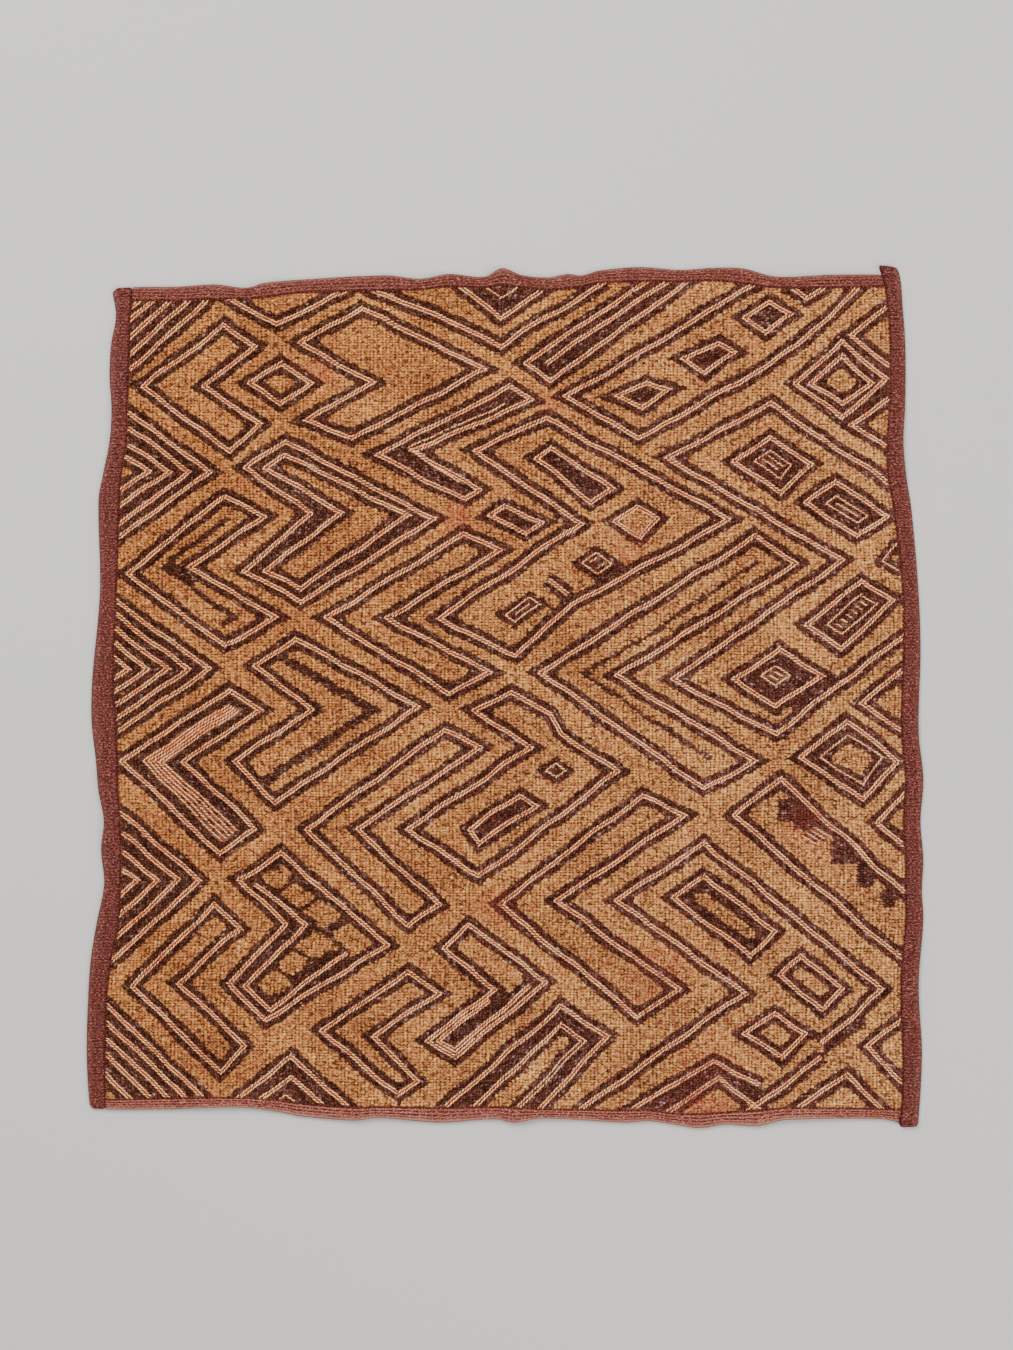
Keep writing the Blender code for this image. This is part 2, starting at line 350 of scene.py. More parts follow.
# A plain weave of warps and wefts, as a mask that is high where a thread crosses over
plain_weave, given, result = new_group("plain_weave", {"Across": 300.0, "Up": 300.0}, "Weave")
coordinates = add_node(plain_weave, "ShaderNodeTexCoord").outputs["Object"]
threads = [
    add_node(
        plain_weave,
        "ShaderNodeTexWave",
        {"Vector": coordinates, "Scale": given[socket], "Distortion": 2.0, "Detail": 2.0},
        bands_direction=direction,
    ).outputs["Fac"]
    for socket, direction in (("Across", "X"), ("Up", "Y"))
]
plain_weave.links.new(maths(plain_weave, "MULTIPLY", *threads), result["Weave"])


def weave_mask(tree, across, up):
    """The plain weave at so many threads each way."""
    placed = add_node(tree, "ShaderNodeGroup", {"Across": across, "Up": up}, node_tree=plain_weave)
    return placed.outputs["Weave"]


# Painted shade: the ground's raffia is coloured dark red-brown, as if shaded by the pile over it, with dark
# gaps and paler crossings in its weave.
woven_ground, shader = new_material("woven_ground", 0.25)
tree = woven_ground.node_tree
weave = weave_mask(tree, 290.0, 360.0)
ground_colour_and_shade = colour_ramp(tree, weave, [(0.0, (0.09, 0.035, 0.02)), (1.0, (0.40, 0.20, 0.11))])
tree.links.new(ground_colour_and_shade, shader.inputs["Base Color"])
give_surface(tree, shader, weave, roughest=0.92, smoothing=0.15, relief=0.6, depth=0.0004)
ground.data.materials.append(woven_ground)
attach(ground, "root")
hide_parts("panel")

# The pattern, charted on a slanted lattice. A line of constant a rises to the right, one of
# constant b falls, and a stitched line turns at whole or half steps, as the threads are counted.
# Over a long line the count slips by a step or two, and the hand strays a little to either side.
STEP_ACROSS = 3.67
STEP_UP = 2.45
WANDER = 0.8


def on_cloth(steps):
    """Places in millimetres of lattice places."""
    a, b = np.asarray(steps, float).T
    return np.column_stack([STEP_ACROSS * (a + b), STEP_UP * (b - a)])


def on_lattice(x, y):
    return (x / STEP_ACROSS - y / STEP_UP) / 2, (x / STEP_ACROSS + y / STEP_UP) / 2


def wander(x, y):
    """How far the hand strays from the chart, in millimetres: a slow drift to and fro."""
    across = np.sin(x / 9.1 + 2.0 * np.sin(y / 37)) + np.sin(y / 6.3 + x / 41)
    across = across + 0.45 * np.sin(y / 3.3 + x / 17)
    up = np.sin(y / 8.3 + 1.7 * np.sin(x / 29)) + np.sin(x / 5.9 - y / 33)
    up = up + 0.45 * np.sin(x / 3.1 - y / 19)
    return WANDER / 2 * across, WANDER / 2 * up


# Twin lines that close on themselves
TWIN_RINGS = [
    [(-81, 10), (-82, 27), (-76, 27), (-75, 16), (-64, 16), (-63, 9)],
    [(-71, 21), (-71, 27), (-65, 27), (-65, 21)],
    [(-72, 32), (-71, 43), (-50, 46), (-53, 23), (-60, 21), (-59, 33)],
    [(-17.5, 74.5), (-19, 85), (-9, 84), (-8, 74)],
    [(-16, 76), (-17, 83), (-10, 82), (-10, 76)],
    [(38, 20), (37, 30), (48, 29), (50, 20)],
    [(-39, 33), (-37, 45), (-4, 48), (-7, 20), (-5, 7), (-18, 5), (-18, 33)],
    [(-48, 23), (-45, 46), (-41, 46), (-45, 27), (-33, 28), (-33, 25)],
    [(-59, 8), (-59, 16), (-33, 19), (-34, -6), (-44, -7), (-46, 8)],
    [(-57, 10), (-57, 14), (-36, 17), (-36, -4), (-42, -5), (-43, 11)],
    [(-55, -19), (-57, 2), (-50, 3), (-50, -12), (-34, -11), (-35, -20)],
    [(-29, -20), (-29, -12), (-7, -10), (-7, -38), (-17, -36), (-17, -21)],
    [(-29, -6), (-28, 20), (-22, 21), (-23, 0), (-5, 2), (-6, -5)],
    [(-1, -5), (0, 1), (7, 2), (11, 0), (22, 0), (24, -29), (10, -29), (10, -5)],
    [(16, -23), (16, -13), (19, -13), (19, -24)],
    [(0, -39), (-1, -11), (5, -10), (5, -34), (24, -37), (24, -43)],
    [(1, -53), (1, -45), (25, -48), (24, -71), (15, -69), (12, -55)],
    [(6, -79), (2, -59), (8, -60), (10, -74), (26, -77), (27, -83)],
    [(31, -67), (31, -50), (37, -50), (37, -63), (48, -65), (48, -69)],
    [(31, -43), (30, -37), (46, -38), (48, -58), (43, -58), (42, -44)],
    [(0, 7), (1, 48), (9, 48), (8, 14), (34, 15), (33, 6)],
    [(30, -31), (28, -1), (35, 0), (35, -25), (60, -26), (60, -34)],
    [(46, -13), (46, -7), (61, -8), (62, -14)],
    [(68, -14), (67, -9), (76, -10), (77, -15)],
    [(73, -26), (73, -20), (79, -20), (80, -26)],
]
# Twin rings that are dark all through
DARK_RINGS = [
    [(-33, 55), (-32, 60), (-29, 61), (-29, 56)],
    [(-32, 67), (-31, 73), (-28, 73), (-28, 67)],
    [(-32, 79), (-32, 84), (-28, 84), (-28, 79)],
    [(-12, 57), (-12, 64), (-4, 64), (-3, 57)],
    [(1, 58), (1, 64), (11, 64), (11, 58)],
    [(19, 40), (18, 52), (24, 52), (26, 40)],
    [(20, 25), (20, 34), (28, 34), (28, 25)],
    [(-32, 38), (-32, 41), (-20, 41), (-20, 37)],
    [(-28, -47), (-28, -26), (-22, -26), (-22, -41), (-5, -44), (-5, -51)],
    [(-28, 25), (-28, 28), (-22, 29), (-22, 26)],
]
# Twin rings with tan pile right up to them inside
TAN_RINGS = [[(-15, 36.5), (-15, 41), (-11, 41), (-10, 36.5)]]
# Twin lines that run out at the cloth's edge or stop short
TWIN_RUNS = [
    [(-84, 6), (-88, 33)],
    [(-86, 6), (-90, 33)],
    [(-88, 6), (-92, 33)],
    [(-90, 6), (-94, 33)],
    [(-92, 10), (-95, 30)],
    [(-89, 31), (-77, 32), (-75, 46)],
    [(-76, 46), (-71, 47), (-60, 50), (-52, 51), (-51, 71)],
    [(-66, 56), (-56, 55), (-56, 67)],
    [(-47, 80), (-47, 51), (-42, 51), (-43, 82)],
    [(-45, 53), (-45, 80)],
    [(-36, 88), (-38, 50), (-25, 51), (-24, 58), (-24, 64), (-23, 69), (-23, 80), (-24, 88), (-26, 97)],
    [(-33, 88), (-29, 88), (-29, 92)],
    [(-20, 97), (-19, 87), (-10, 86)],
    [(-6, 82), (-6, 74), (2, 74)],
    [(7, 69), (-17, 69), (-19, 51), (13, 53), (14, 19), (32, 21), (30, 50)],
    [(35, 44), (36, 34), (45, 34)],
    [(53, 27), (55, 18), (63, 17)],
    [(-82, 5), (-62, 4), (-61, -18)],
    [(-82, 3), (-64, 2), (-63, -16)],
    [(-80, 0), (-66, 0), (-66, -14)],
    [(-78, -2), (-68, -2), (-68, -12)],
    [(-56, -24), (-33, -25), (-33, -46)],
    [(-54, -26), (-35, -27), (-35, -45)],
    [(-52, -28), (-37, -29), (-37, -43)],
    [(-50, -30), (-39, -31), (-39, -41)],
    [(-48, -32), (-41, -33), (-41, -39)],
    [(-26, -54), (-3, -57), (1, -82)],
    [(-22, -57), (-5, -59), (-2, -78)],
    [(-18, -60), (-7, -61), (-5, -74)],
    [(-14, -63), (-9, -63), (-8, -70)],
    [(3, -52), (14, -53), (17, -68), (23, -69), (22, -53)],
    [(4, -84), (32, -89)],
    [(4, -86), (32, -91)],
    [(4, -88), (32, -93)],
    [(6, -90), (30, -95)],
    [(10, -93), (28, -97)],
    [(33, -88), (32, -74), (48, -76)],
    [(35, -85), (35, -77), (45, -78)],
    [(82, -20), (80, -6), (41, -2), (41, -19), (67, -20), (68, -54)],
    [(84, -22), (85, -42)],
    [(70, 10), (39, 15), (40, 5), (80, 0)],
    [(86, -6), (87, -16), (97, -18)],
    [(73, -50), (74, -33), (82, -32)],
    [(77, -47), (77, -35), (87, -36)],
    [(89, -33), (89, -22), (99, -24)],
    [(-13, 21.5), (-9, 21.3)],
    [(43, -46), (44, -57), (47, -57), (45, -40)],
    [(55, -70), (51, -40), (60, -40), (65, -62)],
]
# Single pale lines, the small rings at the hearts of the lozenges among them
PALE_RINGS = [
    [(-12, 27), (-12, 30), (-9, 30), (-9, 27)],
    [(-12, 12), (-12, 17), (-10, 17), (-10, 12)],
    [(21, 42), (20, 50), (23, 50), (24, 42)],
    [(40, 22), (39, 28), (46, 28), (48, 22)],
    [(15, -7), (15, -5), (17, -5), (17, -7)],
    [(-10, 59), (-10, 62), (-6, 62), (-5, 59)],
    [(3, 60), (3, 62), (9, 62), (9, 60)],
    [(22, 28), (22, 31), (25, 31), (25, 28)],
]
PALE_RUNS = [
    [(-63, 58), (-59, 58), (-59, 62)],
    [(37, -82), (37, -80), (40, -80)],
    [(16, 61), (17, 57), (20, 57)],
    [(-33, 90), (-31, 90), (-31, 92)],
    [(-11, 13), (-11, 16)],
    [(-43, 43), (-46, 27), (-36, 27)],
    [(58, -66), (54, -43), (58, -43), (62, -62)],
    [(57.5, -66), (53.5, -42.5), (58.5, -42.5), (62.5, -62)],
]
# Places filled with rows of stitching alone: so many rows from the first line to the last
Hatch = namedtuple("Hatch", "rows first last")
HATCHES = [
    Hatch(5, [(-26, -28), (-26, -45), (-6.5, -49)], [(-24, -28), (-24, -43), (-6.5, -46)]),
    Hatch(2, [(-11.3, 27.8), (-11.3, 29.3)], [(-9.8, 27.8), (-9.8, 29.3)]),
    Hatch(2, [(-9.5, 60), (-6.5, 60)], [(-9.5, 61), (-6.5, 61)]),
    Hatch(1, [(4, 61), (8, 61)], [(4, 61), (8, 61)]),
    Hatch(2, [(22.8, 29), (24.4, 29)], [(22.8, 30), (24.4, 30)]),
    Hatch(6, [(21.8, 43), (23, 43)], [(21, 49), (22.2, 49)]),
    Hatch(4, [(49.5, 8.5), (52.2, 8.7)], [(49.5, 11.1), (52.2, 11.3)]),
]
# Broad dark fills: half a width in millimetres, and the line that they follow
DarkRun = namedtuple("DarkRun", "half_width corners")
DARK_RUNS = [
    DarkRun(2.1, [(-53.4, -1), (-52.5, -14.5), (-38, -15), (-38, -17)]),
    DarkRun(3.4, [(-28, -16), (-11, -15), (-11, -36)]),
    DarkRun(1.8, [(5, 44), (5, 21), (4, 11), (29, 11)]),
    DarkRun(3.0, [(-43, 44), (-46, 26), (-35, 26)]),
    DarkRun(4.8, [(45, -41), (45.5, -57)]),
    DarkRun(1.3, [(83, -12), (84, -22)]),
    DarkRun(1.6, [(47.7, -11.4), (47.7, -8.7), (59.4, -9.6), (60.2, -12.3), (47.7, -11.4)]),
    DarkRun(9.5, [(3, -50), (17.5, -50), (19, -67)]),
    DarkRun(4.2, [(57, -68), (53, -42), (59, -42), (64, -62)]),
]
# Tan squares left within the dark fills, by their middles, and half their width in steps
TAN_SQUARES = [(4, -50), (9, -50), (14, -50), (20, -50), (18, -55), (18, -60), (19, -65)]
TAN_HALF_STEPS = 2.1
# Upright dark blocks at the right, in millimetres
Block = namedtuple("Block", "x y half_width half_height")
DARK_BLOCKS = [
    Block(203, -82, 6.5, 8),
    Block(215, -88, 8, 8),
    Block(243, -112, 9.5, 8),
    Block(259, -129, 6.5, 7.5),
    Block(276, -146, 5.5, 6),
]

twin_lines = [(on_cloth(corners), True) for corners in TWIN_RINGS + DARK_RINGS + TAN_RINGS]
twin_lines += [(on_cloth(corners), False) for corners in TWIN_RUNS]
pale_lines = [(on_cloth(corners), True) for corners in PALE_RINGS]
pale_lines += [(on_cloth(corners), False) for corners in PALE_RUNS]
hatch_lines = []
hatch_between = []
for hatch in HATCHES:
    first, last = on_cloth(hatch.first), on_cloth(hatch.last)
    for row in range(hatch.rows):
        share = row / max(1, hatch.rows - 1)
        hatch_lines.append((first + (last - first) * share, False))
        if row:
            hatch_between.append((first + (last - first) * (share - 0.5 / (hatch.rows - 1)), False))

# The stitched lines: rows of slanting stem stitch in raffia thread, two pale rows with a red one between.
# Each stitch is a short twisted strand that stands about 1 mm proud of the ground.
ROW_GAP = 1.02
STITCH_PITCH = 2.7
STITCH_MARGIN = 0.5

Stitch = namedtuple("Stitch", "slant length width height lift")
PALE_STITCH = Stitch(0.34, 3.7, 1.2, 1.15, 0.6)
RED_STITCH = Stitch(-0.34, 2.6, 1.1, 0.9, 0.3)

draw = np.random.default_rng(11)


def headings(path, closed):
    """Unit vectors along each stretch of a path, and those into each of its points."""
    ahead = np.roll(path, -1, axis=0) - path
    if not closed:
        ahead[-1] = path[-1] - path[-2]
    ahead /= np.linalg.norm(ahead, axis=1)[:, None]
    behind = np.roll(ahead, 1, axis=0)
    if not closed:
        behind[0] = ahead[0]
    return ahead, behind


def mitred(path, closed, away):
    """The path moved sideways, with its corners kept sharp."""
    ahead, behind = headings(path, closed)
    middle = ahead + behind
    middle /= np.linalg.norm(middle, axis=1)[:, None]
    sideways = np.column_stack([-middle[:, 1], middle[:, 0]])
    spread = np.maximum((middle * ahead).sum(axis=1), 0.45)
    return path + sideways * (away / spread)[:, None]


def stitch_row(path, closed, pitch):
    """Places along a path one stitch apart, and the direction there."""
    points = np.vstack([path, path[:1]]) if closed else path
    lengths = np.linalg.norm(np.diff(points, axis=0), axis=1)
    reach = np.concatenate([[0], np.cumsum(lengths)])
    number = max(1, round(reach[-1] / pitch))
    at = (np.arange(number) + 0.5) * reach[-1] / number
    stretch = np.clip(np.searchsorted(reach, at, side="right") - 1, 0, len(lengths) - 1)
    along = (points[stretch + 1] - points[stretch]) / lengths[stretch][:, None]
    return points[stretch] + along * (at - reach[stretch])[:, None], along


def gather_rows(lines, offsets):
    """All the stitches of the rows that lie at some offsets from some charted lines."""
    spots, ways = [], []
    for path, closed in lines:
        for away in offsets:
            row, along = stitch_row(mitred(path, closed, away), closed, STITCH_PITCH)
            spots.append(row)
            ways.append(along)
    return np.vstack(spots), np.vstack(ways)


def settle(groups):
    """Groups of stitches as one, strayed as the hand does, and only those inside the seam."""
    spots = np.vstack([group[0] for group in groups])
    ways = np.vstack([group[1] for group in groups])
    spots = spots + np.column_stack(wander(spots[:, 0], spots[:, 1])) + draw.normal(0, 0.08, spots.shape)
    within = inside_seam(spots[:, 0], spots[:, 1]) > STITCH_MARGIN
    return spots[within], ways[within]


def small_shape(kind, **sizes):
    """The points and faces of a small primitive, which is then removed."""
    bpy.ops.object.select_all(action="DESELECT")
    getattr(bpy.ops.mesh, "primitive_" + kind + "_add")(**sizes)
    shape = bpy.context.object
    points = np.array([vertex.co for vertex in shape.data.vertices])
    faces = [list(face.vertices) for face in shape.data.polygons]
    mesh = shape.data
    bpy.data.objects.remove(shape)
    bpy.data.meshes.remove(mesh)
    return points, faces


def repeat_shape(name, shape, spots, turns, fibre, material):
    """Many copies of a small closed shape joined as one mesh, each with its place, axes and fibre."""
    points, faces = shape
    copies, corners = len(spots), len(points)
    placed = (np.einsum("nij,vj->nvi", turns, points) + spots[:, None]) * MM
    order = np.array([corner for face in faces for corner in face])
    sizes = np.array([len(face) for face in faces])
    starts = np.concatenate([[0], np.cumsum(sizes)[:-1]])
    steps = np.arange(copies)[:, None]
    mesh = bpy.data.meshes.new(name)
    mesh.vertices.add(copies * corners)
    mesh.vertices.foreach_set("co", placed.ravel())
    mesh.loops.add(copies * len(order))
    mesh.loops.foreach_set("vertex_index", (order + steps * corners).ravel().astype(np.int32))
    mesh.polygons.add(copies * len(faces))
    mesh.polygons.foreach_set("loop_start", (starts + steps * len(order)).ravel().astype(np.int32))
    mesh.update(calc_edges=True)
    height = (points[:, 2] - points[:, 2].min()) / np.ptp(points[:, 2])
    tint = np.empty((copies, corners, 4))
    tint[:, :, :3] = fibre[:, None]
    # The alpha holds each point's height within its shape, which the materials read to paint shade towards
    # the root.
    tint[:, :, 3] = height
    attribute = mesh.attributes.new("fibre", "FLOAT_COLOR", "POINT")
    attribute.data.foreach_set("color", tint.ravel())
    piece = bpy.data.objects.new(name, mesh)
    bpy.context.collection.objects.link(piece)
    mesh.materials.append(material)
    return piece


def stitch_axes(ways, stitch):
    """Axes of slanting stitches that lie along some ways."""
    turn = stitch.slant + draw.normal(0, 0.09, len(ways))
    cosine, sine = np.cos(turn), np.sin(turn)
    axes = np.zeros((len(ways), 3, 3))
    size = stitch.length / 2 * draw.uniform(0.85, 1.12, len(ways))
    across = stitch.width / 2 * draw.uniform(0.8, 1.15, len(ways))
    lie = np.column_stack([
        ways[:, 0] * cosine - ways[:, 1] * sine,
        ways[:, 0] * sine + ways[:, 1] * cosine,
    ])
    axes[:, :2, 2] = lie * size[:, None]
    axes[:, 0, 0] = -lie[:, 1] * across
    axes[:, 1, 0] = lie[:, 0] * across
    axes[:, 2, 1] = stitch.height / 2
    return axes


def stitch_spots(spots, stitch):
    """The middles of stitches that lie on the ground."""
    x, y = spots[:, 0], spots[:, 1]
    return np.column_stack([x, y, ground_face(x, y) + stitch.lift + draw.normal(0, 0.05, len(x))])


# Where red dye has spread into the pile, and where the cloth is worn pale, in millimetres
Patch = namedtuple("Patch", "x y radius strength")
STAINS = [
    Patch(-32, 129, 12, 0.8),
    Patch(97, 113, 14, 0.6),
    Patch(-4, -150, 13, 0.8),
    Patch(140, -297, 18, 0.9),
    Patch(146, -268, 20, 0.8),
    Patch(97, 300, 12, 0.6),
    Patch(-133, 235, 9, 0.6),
    Patch(32, 213, 10, 0.6),
    Patch(112, -194, 24, 0.5),
    Patch(215, -89, 12, 1.0),
    Patch(233, -103, 12, 0.5),
]
WORN = [
    Patch(18, -269, 16, 0.2),
    Patch(-70, -60, 30, 0.10),
    Patch(120, -30, 40, 0.08),
]
# The share of single strands that are darker than the rest, and of those that are redder
ODD_STRANDS = 0.05


def patchiness(patches, x, y):
    """How strongly a place lies in any of some soft-edged patches."""
    most = np.zeros(len(x))
    for patch in patches:
        near = np.exp(-((x - patch.x) ** 2 + (y - patch.y) ** 2) / patch.radius ** 2)
        most = np.maximum(most, near * patch.strength)
    return most


def fibre_tints(spots, tone, spread):
    """Tone, warmth and redness of each thread: warmth grows to the upper left, redness at the stains."""
    x, y = spots[:, 0], spots[:, 1]
    slow = 0.05 * np.sin(x / 17 + 2 * np.sin(y / 31)) + 0.04 * np.sin(y / 11 + x / 23)
    tones = tone + slow + x / 6500 + patchiness(WORN, x, y) + draw.normal(0, spread, len(x))
    tones -= (draw.random(len(x)) < ODD_STRANDS) * 0.3
    warmth = 0.5 - x / 520 + y / 1300 + draw.normal(0, 0.12, len(x))
    soaked = patchiness(STAINS, x, y) * draw.uniform(0.1, 1.3, len(x))
    redness = soaked + (draw.random(len(x)) < ODD_STRANDS) * 0.5 + draw.normal(0, 0.07, len(x))
    return np.clip(np.column_stack([tones, warmth, redness]), 0, 1)


WHITE = (1.0, 1.0, 1.0)
BLACK = (0.0, 0.0, 0.0)

# Fine fibres that vary the tone of every thread and tuft
raffia_grain, given, result = new_group(
    "raffia_grain", {"Tone": 0.5, "Strength": 0.5, "Fineness": 1400.0}, "Tone"
)
coordinates = add_node(raffia_grain, "ShaderNodeTexCoord").outputs["Object"]
grain = add_node(
    raffia_grain, "ShaderNodeTexNoise", {"Vector": coordinates, "Scale": given["Fineness"], "Detail": 2.0}
).outputs["Fac"]
centred = maths(raffia_grain, "SUBTRACT", grain, 0.5)
raffia_grain.links.new(
    maths(raffia_grain, "MULTIPLY_ADD", centred, given["Strength"], given["Tone"]), result["Tone"]
)


def fibre_material(name, stops, warm, red, root, roughest, grain, painted_pit_shade=0.0):
    """Raffia whose tone, warmth and redness are each strand's own, darkened by painted shade towards its root
    and in a painted pattern of dark dots.
    """
    material, shader = new_material(name, 0.07)
    tree = material.node_tree
    fibre = add_node(tree, "ShaderNodeAttribute", attribute_name="fibre", attribute_type="GEOMETRY")
    parts = add_node(tree, "ShaderNodeSeparateColor", {"Color": fibre.outputs["Color"]})
    # Painted shade: a fine weave of dark dots pressed into the tone, standing for the shaded gaps between
    # tufts.
    painted_pit_mask = maths(tree, "POWER", weave_mask(tree, 105.0, 150.0), 1.7)
    pit_shaded_tone = maths(tree, "MULTIPLY_ADD", painted_pit_mask, -painted_pit_shade, parts.outputs["Red"])
    grained = add_node(tree, "ShaderNodeGroup", {"Tone": pit_shaded_tone, "Strength": grain}, node_tree=raffia_grain)
    tone = grained.outputs["Tone"]
    warmed = mix_colours(tree, parts.outputs["Green"], colour_ramp(tree, tone, stops), warm, "MULTIPLY")
    stained = mix_colours(tree, parts.outputs["Blue"], warmed, red)
    # Painted shade: each strand runs from the darker root colour at its foot to its own colour above mid
    # height.
    painted_root_shade = colour_ramp(tree, fibre.outputs["Alpha"], [(0.15, root), (0.55, WHITE)])
    tree.links.new(mix_colours(tree, 1.0, stained, painted_root_shade, "MULTIPLY"), shader.inputs["Base Color"])
    give_surface(tree, shader, tone, roughest, smoothing=0.3, relief=0.5, depth=0.0003)
    return material


sixteen_sided = small_shape("uv_sphere", segments=4, ring_count=3, radius=1.0)

pale_thread = fibre_material(
    "pale_thread",
    [(0.0, (0.62, 0.20, 0.08)), (0.5, (1.0, 0.50, 0.22)), (1.0, (1.0, 0.68, 0.38))],
    warm=(1.0, 0.95, 0.9),
    red=(0.45, 0.12, 0.08),
    # root: the painted shade at each stitch's foot
    root=(0.85, 0.55, 0.42),
    roughest=0.70,
    grain=0.5,
)
red_thread = fibre_material(
    "red_thread",
    [(0.0, (0.12, 0.018, 0.010)), (0.5, (0.28, 0.055, 0.028)), (1.0, (0.52, 0.15, 0.085))],
    warm=(1.0, 0.95, 0.85),
    red=(0.26, 0.04, 0.03),
    # root: the painted shade at each stitch's foot
    root=(0.7, 0.6, 0.6),
    roughest=0.75,
    grain=0.5,
)


def make_stitches(name, groups, stitch, tone, spread, thread):
    """One piece of all the stitches in some groups of rows."""
    spots, ways = settle(groups)
    axes = stitch_axes(ways, stitch)
    middles = stitch_spots(spots, stitch)
    stitches = repeat_shape(name, sixteen_sided, middles, axes, fibre_tints(spots, tone, spread), thread)
    stitches.data.shade_smooth()
    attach(stitches, "root")


pale_rows = [gather_rows(twin_lines, (-ROW_GAP, ROW_GAP)), gather_rows(pale_lines + hatch_lines, (0.0,))]
make_stitches("pale_stitches", pale_rows, PALE_STITCH, 0.64, 0.2, pale_thread)
red_rows = [gather_rows(twin_lines + hatch_between, (0.0,))]
make_stitches("red_stitches", red_rows, RED_STITCH, 0.5, 0.22, red_thread)

# The cut pile: short raffia tufts, each pulled under one thread of the ground and trimmed, so they stand
# in columns and rows. Dark tufts edge every stitched line and natural tan ones fill the rest.
TUFT_ACROSS = 2.3
TUFT_UP = 1.75
TUFT_MARGIN = 0.7
TALLER = 1.03

# How far from its middle a line is clear of tufts, and how far the dark ones reach
TWIN_CLEAR = 1.6
TWIN_DARK = 5.75
PALE_CLEAR = 0.8
PALE_DARK = 4.6
DARK_ROW = 1.45
HATCH_CLEAR = 1.3
CAP = 1.2

columns = round(SEAM_SPAN / TUFT_ACROSS)
rows = round(SEAM_SPAN * TALLER / TUFT_UP)
across, up = np.meshgrid((np.arange(columns) + 0.5) / columns, (np.arange(rows) + 0.5) / rows)
tuft_x, tuft_y = (part.ravel() for part in place(across, up))
stray_x, stray_y = wander(tuft_x, tuft_y)
chart_x, chart_y = tuft_x - stray_x, tuft_y - stray_y


def nearest_line(lines, reach):
    """How far the tufts lie from the nearest of some lines, with sharp corners, and the way there from it."""
    nearest = np.full(len(chart_x), float(reach))
    away = np.zeros((len(chart_x), 2))
    for path, closed in lines:
        ahead, behind = headings(path, closed)
        turns = ahead + behind
        last = len(path) if closed else len(path) - 1
        for i in range(last):
            j = (i + 1) % len(path)
            low = np.minimum(path[i], path[j]) - 2 * reach
            high = np.maximum(path[i], path[j]) + 2 * reach
            inside = (chart_x > low[0]) & (chart_x < high[0]) & (chart_y > low[1]) & (chart_y < high[1])
            near = np.flatnonzero(inside)
            here = np.column_stack([chart_x[near], chart_y[near]])
            start, stop = here - path[i], here - path[j]
            out = turns[j] if closed or j < last else ahead[i]
            slack = CAP if not closed and i == 0 else 0.0
            spare = CAP if not closed and j == last else 0.0
            own = (start @ turns[i] >= -2 * slack) & (stop @ out <= spare)
            normal = np.array([-ahead[i][1], ahead[i][0]])
            side = start @ normal
            nearer = own & (np.abs(side) < nearest[near])
            nearest[near[nearer]] = np.abs(side[nearer])
            away[near[nearer]] = np.sign(side[nearer])[:, None] * normal
    return nearest, away


def inside_ring(corners):
    """Which tufts lie inside a charted ring."""
    inside = np.zeros(len(tuft_a), bool)
    for (a, b), (next_a, next_b) in zip(corners, corners[1:] + corners[:1]):
        if b != next_b:
            crossed = (b > tuft_b) != (next_b > tuft_b)
            inside ^= crossed & (tuft_a < (next_a - a) * (tuft_b - b) / (next_b - b) + a)
    return inside


def whole_parts(chosen, high, wide):
    """Those of the chosen tufts that belong to some block of so many rows and columns."""
    grid = chosen.reshape(rows, columns)
    top, right = rows - high + 1, columns - wide + 1
    shifts = [(i, j) for i in range(high) for j in range(wide)]
    full = np.all([grid[i:i + top, j:j + right] for i, j in shifts], axis=0)
    kept = np.zeros_like(grid)
    for i, j in shifts:
        kept[i:i + top, j:j + right] |= full
    return kept.ravel()


tuft_a, tuft_b = on_lattice(chart_x, chart_y)
from_twin, twin_away = nearest_line(twin_lines, TWIN_DARK + 2)
from_pale, pale_away = nearest_line(pale_lines, PALE_DARK + 2)
from_hatch, _ = nearest_line(hatch_lines, HATCH_CLEAR + 1)
filled = np.zeros(len(tuft_x), bool)
for run in DARK_RUNS:
    filled |= nearest_line([(on_cloth(run.corners), False)], run.half_width + 0.1)[0] < run.half_width
for block in DARK_BLOCKS:
    filled |= (np.abs(chart_x - block.x) < block.half_width) & (np.abs(chart_y - block.y) < block.half_height)
for a, b in TAN_SQUARES:
    filled &= (np.abs(tuft_a - a) > TAN_HALF_STEPS) | (np.abs(tuft_b - b) > TAN_HALF_STEPS)
for corners in DARK_RINGS:
    filled |= inside_ring(corners)

bare = (from_twin < TWIN_CLEAR) | (from_pale < PALE_CLEAR) | (from_hatch < HATCH_CLEAR)
standing = ~bare & (inside_seam(tuft_x, tuft_y) > TUFT_MARGIN)
by_twin = from_twin < TWIN_DARK
for corners in TAN_RINGS:
    by_twin &= ~inside_ring(corners)
by_pale = ~by_twin & (from_pale < PALE_DARK)
tan = whole_parts(standing & ~(by_twin | by_pale | filled), high=2, wide=2)
dark = standing & ~tan

# Beside a line the dark tufts stand in rows along it, and the first tan ones close up to them
tuft_way = np.tile([1.0, 0.0], (len(tuft_x), 1))


def close_up(chosen, distance, away, wanted):
    """Move tufts to a wanted distance from their line, and turn them along it."""
    shift = (wanted - distance)[chosen, None] * away[chosen]
    tuft_x[chosen] += shift[:, 0]
    tuft_y[chosen] += shift[:, 1]
    tuft_way[chosen] = np.column_stack([-away[chosen, 1], away[chosen, 0]])


def in_rows(distance, first):
    """The distance of the nearest of three dark rows, the first of them given."""
    return first + np.clip(np.round((distance - first) / DARK_ROW), 0, 2) * DARK_ROW


